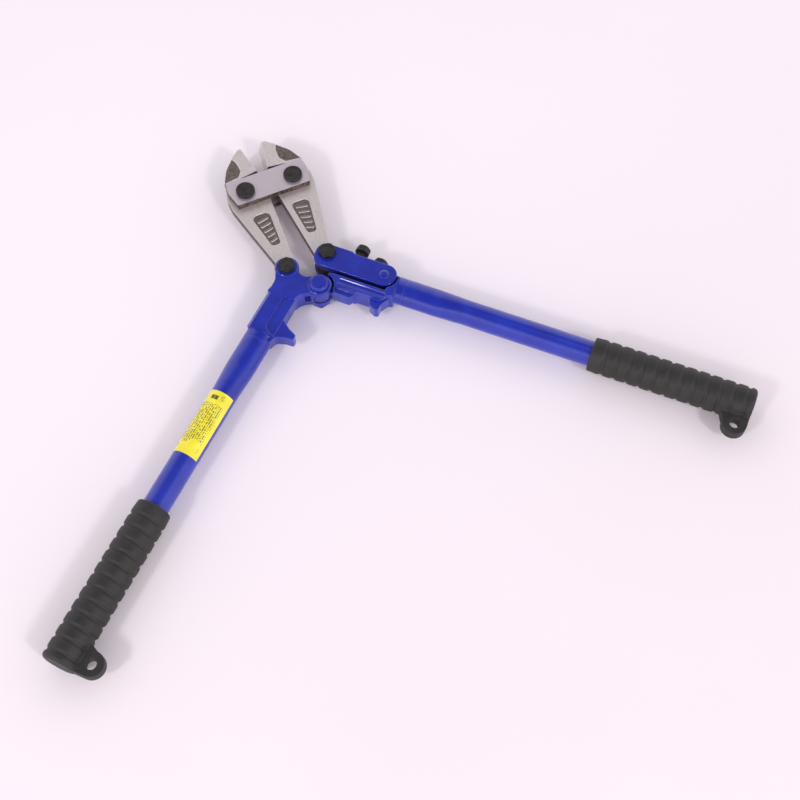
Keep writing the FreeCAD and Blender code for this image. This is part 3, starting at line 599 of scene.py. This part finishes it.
def pale_table(name):
    sheet = Finish(name)
    # painted light: the sheet's colour grows brighter towards its far end
    far = sheet.axis(sheet.place, "Y").ramp(-0.6, 0.35)
    shade = sheet.blend(far, TABLE_NEAR_PAINTED_SHADE, TABLE_FAR_PAINTED_LIGHT)
    colour = sheet.blend(sheet.noise(2.2, 3.0).ramp(0.3, 0.7) * 0.3, shade, PATCH_SHADE)
    dust = sheet.noise(140.0, 2.0).ramp(0.74, 0.80)
    return sheet.surface(Base_Color=sheet.blend(dust * 0.12, colour, DUST), Roughness=0.7)


table_corners = [(x * TABLE_HALF, y * TABLE_HALF, 0) for x, y in ((-1, -1), (1, -1), (1, 1), (-1, 1))]
table_mesh = bpy.data.meshes.new("table")
table_mesh.from_pydata(table_corners, [], [(0, 1, 2, 3)])
table_mesh.materials.append(pale_table("pale_sheet"))
table = bpy.data.objects.new("table", table_mesh)
table.location.z = TABLE_DROP
scene.collection.objects.link(table)
print("table", 2 * TABLE_HALF, "m square")

# %% [markdown]
# ## The room's light
# Glossy paint looks deep only if it has something dark to reflect.  A plain white world would
# lay a milky veil over the blue.  So the room is pale at its walls, which light the table, and
# dim at its ceiling, which is what the level faces mirror.

# %% Pale walls under a dim ceiling
WALL_TOP, CEILING_START = 0.60, 0.92        # sines of the heights where the fade runs
WALL_LIGHT, CEILING_LIGHT = 1.16, 0.26


def pale_room(name):
    room = bpy.data.worlds.new(name)
    room.use_nodes = True
    nodes = Nodes(room.node_tree)
    direction = nodes.node("ShaderNodeTexCoord", out="Generated")
    height = nodes.node("ShaderNodeSeparateXYZ", sockets={0: direction}, out="Z")
    background = room.node_tree.nodes["Background"]
    nodes.feed(background.inputs["Color"], (0.985, 0.955, 1.0, 1.0))
    nodes.feed(background.inputs["Strength"],
               height.ramp(WALL_TOP, CEILING_START, WALL_LIGHT, CEILING_LIGHT))
    return room


scene.world = pale_room("pale_room")
print("walls", WALL_LIGHT, "ceiling", CEILING_LIGHT)

# %% [markdown]
# ## Two soft boxes
# One soft box stands on either side of the handles.  They give every dome its two highlights
# and every tube its bright line.  Point lamps would do that too, but with hard black shadows.
# The boxes are far off, so that the table is lit evenly from end to end.

# %% Soft boxes
VIEW_TURN = math.radians(-24.0)     # the viewer stands a little to the left
BOX_SPREAD = math.radians(42)       # each box to the side of the viewer
BOX_HEIGHT = math.radians(38)
BOX_DISTANCE = 4.5
BOX_SIZE = 0.55
BOX_POWER = 42.0
LIT_PLACE = Vector((0, -0.15, 0))


def soft_box(name, side):
    bearing = VIEW_TURN - math.pi / 2 + side * BOX_SPREAD
    lamp = bpy.data.lights.new(name, "AREA")
    lamp.shape = "SQUARE"
    lamp.size = BOX_SIZE
    lamp.energy = BOX_POWER
    lamp.color = (1.0, 0.96, 0.98)
    stand = bpy.data.objects.new(name, lamp)
    flat = BOX_DISTANCE * math.cos(BOX_HEIGHT)
    stand.location = (flat * math.cos(bearing), flat * math.sin(bearing), BOX_DISTANCE * math.sin(BOX_HEIGHT))
    stand.rotation_euler = (LIT_PLACE - stand.location).to_track_quat("-Z", "Y").to_euler()
    scene.collection.objects.link(stand)
    print(name, "at", [round(x, 2) for x in stand.location])


soft_box("soft_box_left", -1)
soft_box("soft_box_right", 1)

# %% [markdown]
# ## The camera
# The viewer stands over the handles and looks down at a slant, which shows the broad faces and
# a little of every edge.  A view from straight above would hide the thickness of the levers.

# %% Camera
camera = bpy.data.objects.new("camera", bpy.data.cameras.new("camera"))
camera.data.lens = 54.8
camera.location = (-0.2467, -0.7992, 1.2982)
camera.rotation_euler = (math.radians(27.92), 0, VIEW_TURN)
scene.collection.objects.link(camera)
scene.camera = camera
print("camera", round(camera.location.length, 2), "m from the centre pivot")

# %% [markdown]
# ## The end
